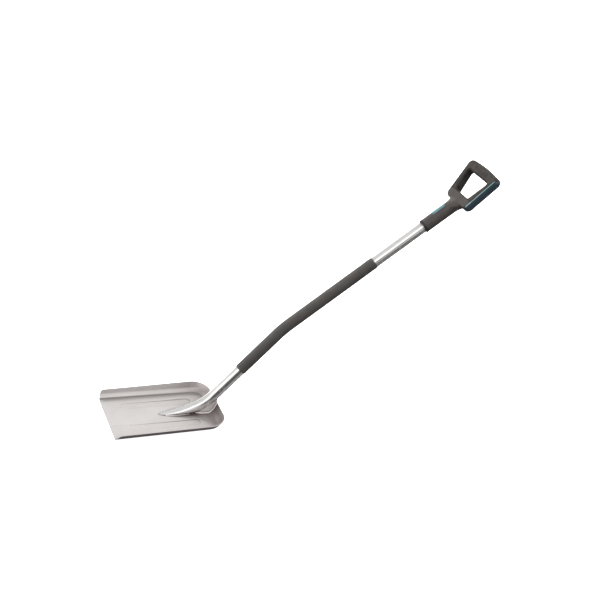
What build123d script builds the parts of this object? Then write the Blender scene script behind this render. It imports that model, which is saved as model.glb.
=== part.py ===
"""Snow shovel with a pressed aluminium pan, a bent tube shaft and a D-handle.

Millimetres. +X runs from the pan's front edge towards the handle, +Y to the left of a person
who pushes the shovel forwards (towards -X), +Z up. The origin lies in the middle of the flat sole.
"""

from build123d import *
from math import atan2, cos, hypot, radians, sin, tan
import os

# ---- pan: one pressed sheet, open at the front ----
SHEET = 2.0
FLOOR_LENGTH = 303.7
FLOOR_WIDTH_FRONT = 182.8
FLOOR_WIDTH_REAR = 174.2
FLOOR_CORNER = 26.8
BEVEL_OUT = 12.7
BEVEL_UP = 11.5
WALL_OUT_FRONT = 3.4
WALL_OUT_REAR = 9.5
WALL_UP_FRONT = 11.3
WALL_UP_REAR = 16.5
FRONT_RAKE = 8.1
BEAD_LENGTH = 212.0
BEAD_WIDTH = 26.0
BEAD_DEPTH = 1.0
BEAD_SPACING = 100.0
BEAD_CENTRE_X = 6.0

# ---- shaft: one round tube, bent under the sleeve, its foot formed to a spear point ----
TUBE_DIAMETER = 32.0
TUBE_WALL = 1.6
SPEAR_LENGTH = 72.0
NECK_FROM_REAR = 78.7
NECK_START_HEIGHT = 8.0
NECK_START_ANGLE = 4.5
NECK_RADIUS = 127.0
LOWER_ANGLE = 51.1
UPPER_ANGLE = 41.1
BEND_RADIUS = 260.0
LOWER_LENGTH = 280.3
UPPER_LENGTH = 588.0

# ---- heel: web under the shaft and the welds ----
WEB_THICKNESS = 26.0
WEB_LENGTH = 41.85
WELD_RADIUS = 2.4
WELD_CORNER = 4.0
WELD_STOP = 0.15

# ---- sleeve on the shaft ----
SLEEVE_WALL = 1.4
SLEEVE_BELOW_BEND = 172.4
SLEEVE_ABOVE_BEND = 327.1

# ---- D-handle ----
COLLAR_WALL = 3.85
TUBE_IN_COLLAR = 83.8
COLLAR_LENGTH = 95.0
YOKE_LENGTH = 34.3
END_RING_LENGTH = 6.0
END_RING_PROUD = 0.5
END_RING_ROUND = 0.8
HANDLE_ANGLE = 56.3
HANDLE_BOTTOM = -11.0
GRIP_HEIGHT = 27.1
HANDLE_HALF_BOTTOM = 52.2
HANDLE_HALF_TOP = 73.5
HANDLE_CORNER = 15.0
BODY_DEPTH = 30.0
YOKE_WIDTH = 78.0
YOKE_CORNER = 11.0
OPENING_BOTTOM = 19.8
OPENING_TOP = 88.0
OPENING_HALF_BOTTOM = 32.7
OPENING_HALF_TOP = 51.6
OPENING_CORNER = 10.0
STRUT_BESIDE_GRIP = 15.5
GRIP_DEPTH = 30.0
GRIP_CORNER = 11.0
CORE_HEIGHT = 13.0
CORE_DEPTH = 15.0
CORE_CORNER = 4.0
CORE_OVERRUN = 4.0
PAD_THICKNESS = 3.0
PAD_END_MARGIN = 11.0
PAD_WIDTH = 22.0
TRIM_WIDTH = 1.6
BADGE_LENGTH = 46.0
BADGE_WIDTH = 15.0
BADGE_HEIGHT = 0.6
BADGE_DEPTH = 2.0
BADGE_FROM_COLLAR_START = 50.0
SCREW_DIAMETER = 4.0
SCREW_HEAD_DIAMETER = 8.0
SCREW_HEAD_HEIGHT = 2.2
SCREW_FROM_TUBE_END = 28.0
SCREW_REACH = 3.0
SCREW_SINK = 1.0
SCREW_ROUND = 0.8

os.makedirs("parts", exist_ok=True)


def save(piece, name):
    """Label a finished piece and write its STEP file."""
    piece.part.label = name
    export_step(piece.part, f"parts/{name}.step")


# ---- pan outline, which every level of the pressing follows ----
front_x = -FLOOR_LENGTH / 2
rear_x = FLOOR_LENGTH / 2
floor_top = SHEET
bevel_top = floor_top + BEVEL_UP
rim_front_x = front_x + FRONT_RAKE
rim_rear_x = rear_x + BEVEL_OUT + WALL_OUT_REAR
rim_front_z = bevel_top + WALL_UP_FRONT
rim_rear_z = bevel_top + WALL_UP_REAR
rim_slope = atan2(rim_rear_z - rim_front_z, rim_rear_x - rim_front_x)
bevel_slope = atan2(BEVEL_UP, BEVEL_OUT)
wall_slope = atan2(WALL_UP_REAR, WALL_OUT_REAR)
mean_slope = (bevel_slope + wall_slope) / 2
miter = SHEET / cos((wall_slope - bevel_slope) / 2)
overrun = 40.0

bevel_half_front = FLOOR_WIDTH_FRONT / 2 + BEVEL_OUT
bevel_half_rear = FLOOR_WIDTH_REAR / 2 + BEVEL_OUT
rim_half_front = bevel_half_front + WALL_OUT_FRONT
rim_half_rear = bevel_half_rear + WALL_OUT_REAR


def pan_outline(half_front, half_rear, out, growth, shift=0.0):
    """A U-shaped face, out beyond the floor's rear edge, that runs past the pan's front edge."""
    taper = (half_rear - half_front) / FLOOR_LENGTH
    start = front_x - overrun
    back = rear_x + out + growth
    with BuildSketch() as outline:
        with BuildLine():
            Polyline(
                (start - shift, -half_front + taper * overrun - growth),
                (back - shift, -half_rear - taper * out - growth),
                (back - shift, half_rear + taper * out + growth),
                (start - shift, half_front - taper * overrun + growth),
                close=True,
            )
        make_face()
        fillet(outline.vertices().group_by(Axis.X)[-1], FLOOR_CORNER + out + growth)
    return outline.sketch


def pressing(floor_z, bevel_z, floor_growth, bevel_growth, rim_growth):
    """The pan's inner or outer form: floor, bevel and rim outlines, ruled together."""
    rim_plane = Plane(
        origin=(rim_front_x, 0, rim_front_z),
        x_dir=(cos(rim_slope), 0, sin(rim_slope)),
        z_dir=(-sin(rim_slope), 0, cos(rim_slope)),
    )
    with BuildPart() as form:
        with BuildSketch(Plane.XY.offset(floor_z)):
            add(pan_outline(FLOOR_WIDTH_FRONT / 2, FLOOR_WIDTH_REAR / 2, 0, floor_growth))
        with BuildSketch(Plane.XY.offset(bevel_z)):
            add(pan_outline(bevel_half_front, bevel_half_rear, BEVEL_OUT, bevel_growth))
        with BuildSketch(rim_plane):
            add(
                pan_outline(
                    rim_half_front, rim_half_rear, BEVEL_OUT + WALL_OUT_REAR, rim_growth, rim_front_x
                )
            )
        loft(ruled=True)
    return form.part


inner_form = pressing(floor_top, bevel_top, 0, 0, 0)
outer_form = pressing(
    0,
    bevel_top - miter * cos(mean_slope),
    SHEET * tan(bevel_slope / 2),
    miter * sin(mean_slope),
    SHEET / sin(wall_slope),
)

with BuildPart() as blade_pan:
    add(outer_form)
    add(inner_form, mode=Mode.SUBTRACT)
    # the side walls are cut on a rake at the front, the floor square across
    rake_run = 2 * FRONT_RAKE
    rake_rise = 2 * (rim_front_z - floor_top)
    with BuildSketch(Plane.XZ):
        with BuildLine():
            Polyline(
                (front_x - 2 * overrun, -SHEET),
                (front_x, -SHEET),
                (front_x, floor_top),
                (front_x + rake_run, floor_top + rake_rise),
                (front_x - 2 * overrun, floor_top + rake_rise),
                close=True,
            )
        make_face()
    extrude(amount=2 * FLOOR_WIDTH_FRONT, both=True, mode=Mode.SUBTRACT)
    with BuildSketch(Plane.XY.offset(floor_top - BEAD_DEPTH)):
        with Locations((BEAD_CENTRE_X, BEAD_SPACING / 2), (BEAD_CENTRE_X, -BEAD_SPACING / 2)):
            SlotOverall(BEAD_LENGTH, BEAD_WIDTH)
    extrude(amount=2 * BEAD_DEPTH, mode=Mode.SUBTRACT)
save(blade_pan, "blade_pan")

# ---- shaft centre line ----
tube_radius = TUBE_DIAMETER / 2
neck_start = (rear_x - NECK_FROM_REAR, floor_top + NECK_START_HEIGHT)
neck_centre = (
    neck_start[0] - NECK_RADIUS * sin(radians(NECK_START_ANGLE)),
    neck_start[1] + NECK_RADIUS * cos(radians(NECK_START_ANGLE)),
)


def on_neck(angle):
    """The point of the neck's centre line, in XZ, where it rises by this many degrees."""
    return (
        neck_centre[0] + NECK_RADIUS * sin(radians(angle)),
        neck_centre[1] - NECK_RADIUS * cos(radians(angle)),
    )


def along(start, angle, distance):
    """The point this far from a start in XZ, in a direction given in degrees."""
    return (start[0] + distance * cos(radians(angle)), start[1] + distance * sin(radians(angle)))


neck_top = on_neck(LOWER_ANGLE)
bend_point = along(neck_top, LOWER_ANGLE, LOWER_LENGTH)
tube_end = along(bend_point, UPPER_ANGLE, UPPER_LENGTH)
collar_start = along(tube_end, UPPER_ANGLE, -TUBE_IN_COLLAR)
collar_top = along(collar_start, UPPER_ANGLE, COLLAR_LENGTH)
yoke_point = along(collar_top, UPPER_ANGLE, YOKE_LENGTH)


def across(point, angle):
    """The plane square to a centre line that rises by this many degrees, its X along +Y."""
    return Plane(
        origin=(point[0], 0, point[1]),
        x_dir=(0, 1, 0),
        z_dir=(cos(radians(angle)), 0, sin(radians(angle))),
    )


def bent_bar(start, finish, radius):
    """A round bar along the shaft's centre line, from one point to another across the bend."""
    with BuildPart() as bar:
        with BuildLine(Plane.XZ) as path:
            FilletPolyline(start, bend_point, finish, radius=BEND_RADIUS)
        with BuildSketch(across(start, LOWER_ANGLE)):
            Circle(radius)
        sweep(path=path.line)
    return bar.part


# stations of the foot: distance from the tip, height over the floor, half-width, half-height
tip_x = neck_start[0] - SPEAR_LENGTH
foot_stations = (
    (0.0, 0.0, 2.4, 1.6),
    (0.27 * SPEAR_LENGTH, 0.5, 8.5, 5.0),
    (0.6 * SPEAR_LENGTH, 2.5, 12.6, 8.0),
    (SPEAR_LENGTH, NECK_START_HEIGHT, 0.92 * tube_radius, 0.78 * tube_radius),
)
neck_angles = [share * LOWER_ANGLE for share in (0.35, 0.63, 0.82, 1.0)]


def foot_form(stations, shrink):
    """The spear and neck through the given stations, its surface moved in by shrink."""
    with BuildPart() as form:
        for run, lift, half_width, half_height in stations:
            with BuildSketch(across((tip_x + run, floor_top + lift), 0)):
                Ellipse(half_width - shrink, half_height - shrink)
        for angle in neck_angles:
            with BuildSketch(across(on_neck(angle), angle)):
                Circle(tube_radius - shrink)
        loft()
        # the foot lies flat on the pan's floor
        with BuildSketch(Plane.XY.offset(floor_top + shrink)):
            Rectangle(2 * FLOOR_LENGTH, FLOOR_WIDTH_REAR)
        extrude(amount=-2 * TUBE_DIAMETER, mode=Mode.SUBTRACT)
    return form.part


with BuildPart() as shaft_form:
    add(foot_form(foot_stations, 0))
    add(bent_bar(neck_top, tube_end, tube_radius))

# screw through the collar's underside into the tube
collar_radius = tube_radius + COLLAR_WALL
screw_point = along(tube_end, UPPER_ANGLE, -SCREW_FROM_TUBE_END)
screw_plane = Plane(
    origin=(screw_point[0], 0, screw_point[1]),
    x_dir=(cos(radians(UPPER_ANGLE)), 0, sin(radians(UPPER_ANGLE))),
    z_dir=(sin(radians(UPPER_ANGLE)), 0, -cos(radians(UPPER_ANGLE))),
)
with BuildPart() as handle_screw:
    with BuildSketch(screw_plane.offset(tube_radius - TUBE_WALL - SCREW_REACH)):
        Circle(SCREW_DIAMETER / 2)
    extrude(amount=collar_radius - tube_radius + TUBE_WALL + SCREW_REACH)
    with BuildSketch(screw_plane.offset(collar_radius - SCREW_SINK)):
        Circle(SCREW_HEAD_DIAMETER / 2)
    extrude(amount=SCREW_SINK + SCREW_HEAD_HEIGHT)
    fillet(handle_screw.edges().filter_by(GeomType.CIRCLE).group_by(SortBy.RADIUS)[-1], SCREW_ROUND)
save(handle_screw, "handle_screw")

with BuildPart() as shaft_tube:
    add(shaft_form.part)
    add(foot_form(foot_stations[1:], TUBE_WALL), mode=Mode.SUBTRACT)
    add(bent_bar(neck_top, tube_end, tube_radius - TUBE_WALL), mode=Mode.SUBTRACT)
    add(handle_screw.part, mode=Mode.SUBTRACT)
save(shaft_tube, "shaft_tube")

# ---- heel web: fills the wedge between the neck, the floor and the rear wall ----
web_front_x = rear_x - WEB_LENGTH
with BuildPart() as heel_web:
    with BuildSketch(Plane.XZ):
        with BuildLine():
            Polyline(
                (web_front_x, floor_top),
                (rear_x, floor_top),
                (rear_x + BEVEL_OUT, bevel_top),
                (rim_rear_x, rim_rear_z),
                neck_top,
                on_neck(neck_angles[1]),
                on_neck(neck_angles[0]),
                close=True,
            )
        make_face()
    extrude(amount=WEB_THICKNESS / 2, both=True)
    add(shaft_form.part, mode=Mode.SUBTRACT)
    add(blade_pan.part, mode=Mode.SUBTRACT)
save(heel_web, "heel_web")

# ---- welds along the foot and around the web ----
for side, hand in (("left", 1), ("right", -1)):
    with BuildPart() as foot_weld:
        with BuildLine(Plane.XY.offset(floor_top)) as seam:
            Spline(*[(tip_x + run, hand * half_width) for run, lift, half_width, _ in foot_stations[1:]])
        with BuildSketch(Plane(origin=seam.line @ 0, z_dir=seam.line % 0)):
            Circle(WELD_RADIUS)
        sweep()
        add(shaft_form.part, mode=Mode.SUBTRACT)
        with BuildSketch(Plane.XY.offset(floor_top)):
            Rectangle(2 * FLOOR_LENGTH, FLOOR_WIDTH_REAR)
        extrude(amount=-TUBE_DIAMETER, mode=Mode.SUBTRACT)
    save(foot_weld, f"foot_weld_{side}")

    weld_plane = Plane(origin=(0, hand * WEB_THICKNESS / 2, 0), x_dir=(1, 0, 0), z_dir=(0, -1, 0))
    with BuildPart() as heel_weld:
        with BuildLine(weld_plane) as seam:
            FilletPolyline(
                (web_front_x + 2 * WELD_RADIUS, floor_top),
                (rear_x, floor_top),
                (rear_x + BEVEL_OUT, bevel_top),
                (
                    rim_rear_x - WALL_OUT_REAR * WELD_STOP,
                    rim_rear_z - WALL_UP_REAR * WELD_STOP,
                ),
                radius=WELD_CORNER,
            )
        with BuildSketch(Plane(origin=seam.line @ 0, z_dir=seam.line % 0)):
            Circle(WELD_RADIUS)
        sweep()
        add(heel_web.part, mode=Mode.SUBTRACT)
        add(shaft_form.part, mode=Mode.SUBTRACT)
        add(inner_form, mode=Mode.INTERSECT)
    save(heel_weld, f"heel_weld_{side}")

# ---- sleeve shrunk on the tube ----
sleeve_low = along(bend_point, LOWER_ANGLE, -SLEEVE_BELOW_BEND)
sleeve_high = along(bend_point, UPPER_ANGLE, SLEEVE_ABOVE_BEND)
with BuildPart() as grip_sleeve:
    add(bent_bar(sleeve_low, sleeve_high, tube_radius + SLEEVE_WALL))
    add(bent_bar(neck_top, tube_end, tube_radius), mode=Mode.SUBTRACT)
save(grip_sleeve, "grip_sleeve")

# ---- D-handle ----
handle_tilt = radians(HANDLE_ANGLE)
handle_plane = Plane(
    origin=(yoke_point[0], 0, yoke_point[1]),
    x_dir=(0, -1, 0),
    z_dir=(-sin(handle_tilt), 0, cos(handle_tilt)),
)
handle_top = OPENING_TOP + GRIP_HEIGHT
grip_middle = OPENING_TOP + GRIP_HEIGHT / 2
grip_half_length = HANDLE_HALF_TOP - STRUT_BESIDE_GRIP


def trapezoid(half_low, low, half_high, high, corner):
    """A face that is wider at the top than at the bottom, with rounded corners."""
    with BuildSketch() as face:
        with BuildLine():
            Polyline(
                (-half_low, low), (half_low, low), (half_high, high), (-half_high, high), close=True
            )
        make_face()
        fillet(face.vertices(), corner)
    return face.sketch


with BuildPart() as handle_form:
    with BuildSketch(handle_plane):
        add(trapezoid(HANDLE_HALF_BOTTOM, HANDLE_BOTTOM, HANDLE_HALF_TOP, handle_top, HANDLE_CORNER))
    extrude(amount=BODY_DEPTH / 2, both=True)


def grip_face():
    """The soft grip's outer section, seen along the crossbar."""
    with BuildSketch() as face:
        RectangleRounded(GRIP_DEPTH, GRIP_HEIGHT, GRIP_CORNER)
    return face.sketch


grip_plane = Plane(
    origin=handle_plane.from_local_coords((0, grip_middle, 0)),
    x_dir=handle_plane.z_dir,
    z_dir=(0, 1, 0),
)

with BuildPart() as crossbar_core:
    with BuildSketch(grip_plane):
        RectangleRounded(CORE_DEPTH, CORE_HEIGHT, CORE_CORNER)
    extrude(amount=grip_half_length + CORE_OVERRUN, both=True)

# badge let into the collar's upper side, left blank
badge_point = along(collar_start, UPPER_ANGLE, BADGE_FROM_COLLAR_START)
badge_plane = Plane(
    origin=(badge_point[0], 0, badge_point[1]),
    x_dir=(cos(radians(UPPER_ANGLE)), 0, sin(radians(UPPER_ANGLE))),
    z_dir=(-sin(radians(UPPER_ANGLE)), 0, cos(radians(UPPER_ANGLE))),
)
with BuildPart() as collar_badge:
    with BuildSketch(badge_plane.offset(collar_radius - BADGE_DEPTH)):
        SlotOverall(BADGE_LENGTH, BADGE_WIDTH)
    extrude(amount=BADGE_DEPTH + BADGE_HEIGHT)
save(collar_badge, "collar_badge")

# soft pads let into the handle's two sides, each inside a coloured trim line
pad_length = hypot(HANDLE_HALF_TOP - HANDLE_HALF_BOTTOM, handle_top - HANDLE_BOTTOM) - 2 * PAD_END_MARGIN
side_lean = atan2(HANDLE_HALF_TOP - HANDLE_HALF_BOTTOM, handle_top - HANDLE_BOTTOM)
side_middle = (
    (HANDLE_HALF_BOTTOM + HANDLE_HALF_TOP) / 2,
    (HANDLE_BOTTOM + handle_top) / 2,
)
pad_parts = []
for side, hand in (("left", -1), ("right", 1)):
    side_plane = Plane(
        origin=handle_plane.from_local_coords((hand * side_middle[0], side_middle[1], 0)),
        x_dir=handle_plane.x_dir * hand * sin(side_lean) + handle_plane.y_dir * cos(side_lean),
        z_dir=handle_plane.x_dir * hand * cos(side_lean) - handle_plane.y_dir * sin(side_lean),
    )
    with BuildPart() as side_pad:
        with BuildSketch(side_plane):
            SlotOverall(pad_length, PAD_WIDTH)
        extrude(amount=-PAD_THICKNESS)
        add(handle_form.part, mode=Mode.INTERSECT)
    save(side_pad, f"side_pad_{side}")

    with BuildPart() as trim_line:
        with BuildSketch(side_plane):
            SlotOverall(pad_length + 2 * TRIM_WIDTH, PAD_WIDTH + 2 * TRIM_WIDTH)
            SlotOverall(pad_length, PAD_WIDTH, mode=Mode.SUBTRACT)
        extrude(amount=-PAD_THICKNESS)
        add(handle_form.part, mode=Mode.INTERSECT)
    save(trim_line, f"trim_line_{side}")
    pad_parts += [side_pad.part, trim_line.part]

with BuildPart() as handle_body:
    # collar on the tube
    with BuildSketch(across(collar_start, UPPER_ANGLE)):
        Circle(collar_radius)
    extrude(amount=COLLAR_LENGTH)
    # yoke: the round collar spreads into the foot of the frame
    with BuildSketch(across(collar_top, UPPER_ANGLE)):
        Circle(collar_radius)
    with BuildSketch(across(yoke_point, HANDLE_ANGLE)):
        RectangleRounded(YOKE_WIDTH, BODY_DEPTH, YOKE_CORNER)
    loft()
    # frame of the handle
    add(handle_form.part)
    with BuildSketch(handle_plane):
        add(
            trapezoid(
                OPENING_HALF_BOTTOM, OPENING_BOTTOM, OPENING_HALF_TOP, OPENING_TOP, OPENING_CORNER
            )
        )
        with Locations((0, grip_middle)):
            Rectangle(2 * grip_half_length, GRIP_HEIGHT)
    extrude(amount=YOKE_WIDTH, both=True, mode=Mode.SUBTRACT)
    add(crossbar_core.part)
    # bore for the tube
    with BuildSketch(across(collar_start, UPPER_ANGLE)):
        Circle(tube_radius)
    extrude(amount=TUBE_IN_COLLAR, mode=Mode.SUBTRACT)
    # seat of the end ring
    with BuildSketch(across(collar_start, UPPER_ANGLE)):
        Circle(collar_radius)
    extrude(amount=END_RING_LENGTH, mode=Mode.SUBTRACT)
    for inset_part in pad_parts + [collar_badge.part, handle_screw.part]:
        add(inset_part, mode=Mode.SUBTRACT)
save(handle_body, "handle_body")

with BuildPart() as collar_end_ring:
    with BuildSketch(across(collar_start, UPPER_ANGLE)):
        Circle(collar_radius + END_RING_PROUD)
        Circle(tube_radius, mode=Mode.SUBTRACT)
    extrude(amount=END_RING_LENGTH)
    fillet(collar_end_ring.edges().filter_by(GeomType.CIRCLE).group_by(SortBy.RADIUS)[-1], END_RING_ROUND)
save(collar_end_ring, "collar_end_ring")

with BuildPart() as crossbar_grip:
    with BuildSketch(grip_plane):
        add(grip_face())
    extrude(amount=grip_half_length, both=True)
    add(crossbar_core.part, mode=Mode.SUBTRACT)
save(crossbar_grip, "crossbar_grip")
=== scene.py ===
"""A small snow shovel on a pale studio floor: pressed aluminium pan, bent tube shaft, D-handle."""

import bmesh
import bpy
from math import atan2, cos, pi, radians, sin, sqrt, tan
from mathutils import Euler, Matrix, Vector


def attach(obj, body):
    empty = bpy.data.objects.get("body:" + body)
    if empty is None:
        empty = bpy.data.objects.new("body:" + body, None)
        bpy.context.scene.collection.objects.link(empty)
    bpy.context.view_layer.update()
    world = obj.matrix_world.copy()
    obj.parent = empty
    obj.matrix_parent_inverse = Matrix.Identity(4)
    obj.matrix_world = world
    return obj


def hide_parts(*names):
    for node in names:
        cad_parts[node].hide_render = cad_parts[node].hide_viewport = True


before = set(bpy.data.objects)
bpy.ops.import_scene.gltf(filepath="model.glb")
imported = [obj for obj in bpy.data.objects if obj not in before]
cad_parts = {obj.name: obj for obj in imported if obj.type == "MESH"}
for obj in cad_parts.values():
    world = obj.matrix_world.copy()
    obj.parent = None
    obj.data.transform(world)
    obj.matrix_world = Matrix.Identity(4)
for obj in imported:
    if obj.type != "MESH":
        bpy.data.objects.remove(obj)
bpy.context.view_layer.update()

# ---------- camera ----------
# A short telephoto in front of the pan's right side, looking down and rolled a little about its own
# axis, so that the shovel climbs to the upper right.
camera_place = (-0.8747, -2.1790, 1.7563)
camera_yaw = radians(29.77)
camera_pitch = radians(28.87)
camera_roll = radians(13.11)
bpy.ops.object.camera_add(location=camera_place)
camera = bpy.context.object
camera.data.lens = 60
aim = Euler((pi / 2 - camera_pitch, 0, -camera_yaw)).to_matrix() @ Matrix.Rotation(camera_roll, 3, "Z")
camera.rotation_euler = aim.to_euler()
bpy.context.scene.camera = camera

# ---------- pan ----------
# One 2 mm aluminium sheet, pressed: a flat floor with two sunk beads, a bevel round the back and both
# sides, and a steeper flared wall above it. The front is open: its floor is cut square and its walls
# on a rake. It is drawn from the rim inwards, then cut at the front and thickened downwards.
mm = 0.001
sheet = 2.0 * mm
floor_length = 303.7 * mm
floor_half_front = 91.4 * mm
floor_half_rear = 87.1 * mm
floor_corner = 26.8 * mm
bevel_out = 12.7 * mm
bevel_up = 11.5 * mm
wall_out = 9.5 * mm
wall_up = 16.5 * mm
wall_out_front = 3.4 * mm
wall_up_front = 11.3 * mm
front_rake = 8.1 * mm
fold_size = 4.4 * mm
bend_size = 3.0 * mm
cut_off = 40.0 * mm
bead_length = 212.0 * mm
bead_width = 26.0 * mm
bead_depth = 1.3 * mm
bead_slope = 2.4 * mm
bead_fade = 0.75
bead_side = 50.0 * mm
bead_middle_x = 6.0 * mm
rim_corner = 7.0 * mm
sheet_edge = 0.5 * mm
# places nearer than this count as one place, and corners nearer than the gap are merged
near = 0.1 * mm
merge_gap = 0.02 * mm


def middle(part):
    """The middle of a corner, edge or face of the open mesh."""
    if isinstance(part, bmesh.types.BMVert):
        return part.co
    if isinstance(part, bmesh.types.BMEdge):
        return (part.verts[0].co + part.verts[1].co) / 2
    return part.calc_center_median()


def mark(kind, test):
    """Select only those corners, edges or faces of the open mesh that pass the test."""
    bpy.ops.mesh.select_mode(type=kind)
    bpy.ops.mesh.select_all(action="DESELECT")
    shape = bmesh.from_edit_mesh(bpy.context.object.data)
    for part in {"VERT": shape.verts, "EDGE": shape.edges, "FACE": shape.faces}[kind]:
        if test(part):
            part.select_set(True)
    shape.select_flush_mode()
    bmesh.update_edit_mesh(bpy.context.object.data)


def flat_panel(low, high, half_low, half_high):
    """Add a flat panel to the open mesh, its ends at x = low and high, with these half-widths."""
    bpy.ops.mesh.select_mode(type="VERT")
    bpy.ops.mesh.primitive_plane_add(size=2)
    origin = (0, 0, 0)
    for side, end, half in ((1, high, half_high), (-1, low, half_low)):
        mark("VERT", lambda v: v.co.x * side > 0.9)
        bpy.ops.transform.resize(value=(1, half, 1), center_override=origin)
        bpy.ops.transform.translate(value=(end - side, 0, 0))


def new_piece(name):
    """Start an empty mesh of this name and open it for editing."""
    bpy.ops.object.select_all(action="DESELECT")
    bpy.ops.mesh.primitive_plane_add(size=1)
    piece = bpy.context.object
    piece.name = name
    piece.data.name = name
    bpy.ops.object.mode_set(mode="EDIT")
    bpy.ops.mesh.delete(type="VERT")
    return piece


def use_modifier(piece, kind, **settings):
    """Add a modifier with these settings and apply it."""
    bpy.context.view_layer.objects.active = piece
    bpy.ops.object.modifier_add(type=kind)
    modifier = piece.modifiers[-1]
    for name, value in settings.items():
        setattr(modifier, name, value)
    bpy.ops.object.modifier_apply(modifier=modifier.name)


def break_edges(piece, width, steps, least=60):
    """Round a piece's sharp edges, those that turn by at least this many degrees."""
    use_modifier(
        piece, "BEVEL", width=width, segments=steps, limit_method="ANGLE", angle_limit=radians(least)
    )


def finish_piece(piece, slot, *nodes, smooth=40):
    """Smooth-shade a piece, hang it on the root, and hide the model's parts that it takes the place of; the
    slot is not used.
    """
    bpy.ops.object.select_all(action="DESELECT")
    piece.select_set(True)
    bpy.context.view_layer.objects.active = piece
    bpy.ops.object.shade_smooth_by_angle(angle=radians(smooth))
    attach(piece, "root")
    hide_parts(*nodes)


def new_finish(name, colour, metal, rough):
    """Start a material with these plain values; returns its nodes, its links and its shader."""
    finish = bpy.data.materials.new(name)
    finish.use_nodes = True
    shader = finish.node_tree.nodes["Principled BSDF"]
    shader.inputs["Base Color"].default_value = (*colour, 1)
    shader.inputs["Metallic"].default_value = metal
    shader.inputs["Roughness"].default_value = rough
    return finish, finish.node_tree.nodes, finish.node_tree.links, shader


def stretched_noise(nodes, links, stretch, scale, detail=4.0):
    """Noise on the piece's own coordinates, stretched by these factors; returns its value."""
    place = nodes.new("ShaderNodeTexCoord")
    mapping = nodes.new("ShaderNodeMapping")
    mapping.inputs["Scale"].default_value = stretch
    noise = nodes.new("ShaderNodeTexNoise")
    noise.inputs["Scale"].default_value = scale
    noise.inputs["Detail"].default_value = detail
    links.new(place.outputs["Object"], mapping.inputs["Vector"])
    links.new(mapping.outputs["Vector"], noise.inputs["Vector"])
    return noise.outputs[0]


def map_range(nodes, links, value, low, high, to_low, to_high):
    """Map a value from one range to another, clamped; returns the result."""
    span = nodes.new("ShaderNodeMapRange")
    for index, number in ((1, low), (2, high), (3, to_low), (4, to_high)):
        span.inputs[index].default_value = number
    links.new(value, span.inputs[0])
    return span.outputs[0]


def mix_colours(nodes, links, share, first, second):
    """Mix two colours by a share; returns the result."""
    blend = nodes.new("ShaderNodeMix")
    blend.data_type = "RGBA"
    for index, colour in ((6, first), (7, second)):
        if isinstance(colour, tuple):
            blend.inputs[index].default_value = (*colour, 1)
        else:
            links.new(colour, blend.inputs[index])
    links.new(share, blend.inputs[0])
    return blend.outputs[2]


def add_bump(nodes, links, shader, height, strength, distance):
    """Give a shader a fine relief from a height value."""
    bump = nodes.new("ShaderNodeBump")
    bump.inputs["Strength"].default_value = strength
    bump.inputs["Distance"].default_value = distance
    links.new(height, bump.inputs["Height"])
    links.new(bump.outputs["Normal"], shader.inputs["Normal"])


def fold_shade(nodes, links, reach, deepest):
    """How open a point is: 1 on a plain face, 0 deep in a fold or under a weld."""
    open_sky = nodes.new("ShaderNodeAmbientOcclusion")
    open_sky.inputs["Distance"].default_value = reach
    open_sky.samples = 12
    return map_range(nodes, links, open_sky.outputs["AO"], deepest, 0.97, 0.0, 1.0)


def satin_aluminium(name, colour, metal, rough, grain, crease_reach, hollow_reach):
    """Aluminium with a faint stretched grain, softly worn, with painted shade in its folds and painted
    shadow in its hollows.
    """
    finish, nodes, links, shader = new_finish(name, colour, metal, rough)
    streaks = stretched_noise(nodes, links, grain, 1.0, 6.0)
    clouds = stretched_noise(nodes, links, (1, 1, 1), 14.0, 3.0)
    sheen = map_range(nodes, links, streaks, 0.3, 0.7, rough - 0.05, rough + 0.07)
    links.new(sheen, shader.inputs["Roughness"])
    dull = tuple(0.93 * c for c in colour)
    tone = mix_colours(nodes, links, map_range(nodes, links, clouds, 0.35, 0.65, 0, 1), colour, dull)
    # painted shade: darker in folds and creases, where the piece is least open
    crease_shade_tone = tuple(0.42 * c for c in colour)
    tone = mix_colours(nodes, links, fold_shade(nodes, links, crease_reach, 0.8), crease_shade_tone, tone)
    # painted shadow: darker in wide hollows, such as the heel under the shaft
    hollow_shade_tone = tuple(share * c for share, c in zip((0.36, 0.31, 0.31), colour))
    tone = mix_colours(nodes, links, fold_shade(nodes, links, hollow_reach, 0.5), hollow_shade_tone, tone)
    links.new(tone, shader.inputs["Base Color"])
    add_bump(nodes, links, shader, streaks, strength=0.05, distance=0.2 * mm)
    return finish


front_x = -floor_length / 2
rear_x = floor_length / 2
bevel_top = sheet + bevel_up
rim_z = bevel_top + wall_up
rim_rear_x = rear_x + bevel_out + wall_out
rim_front_z = bevel_top + wall_up_front
side_taper = (floor_half_rear - floor_half_front) / floor_length
rim_reach = bevel_out + wall_out
# the sides draw in towards the rear, so its corners are cut a little short of their radius
corner_share = 0.986


def on_floor(part):
    """Whether a part of the open mesh lies in the pan's floor."""
    return abs(middle(part).z - sheet) < near


pan = new_piece("pan")
flat_panel(
    front_x - cut_off,
    rim_rear_x,
    floor_half_front - side_taper * cut_off + rim_reach,
    floor_half_rear + side_taper * rim_reach + rim_reach,
)
bpy.ops.mesh.select_all(action="SELECT")
bpy.ops.transform.translate(value=(0, 0, rim_z))
mark("VERT", lambda v: v.co.x > 0)
bpy.ops.mesh.bevel(offset=corner_share * (floor_corner + rim_reach), segments=14, affect="VERTICES")
# wall and bevel, stepping in and down from the rim
bpy.ops.mesh.select_mode(type="FACE")
bpy.ops.mesh.select_all(action="SELECT")
bpy.ops.mesh.inset(thickness=wall_out, depth=-wall_up)
bpy.ops.mesh.inset(thickness=bevel_out, depth=-bevel_up)
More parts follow.
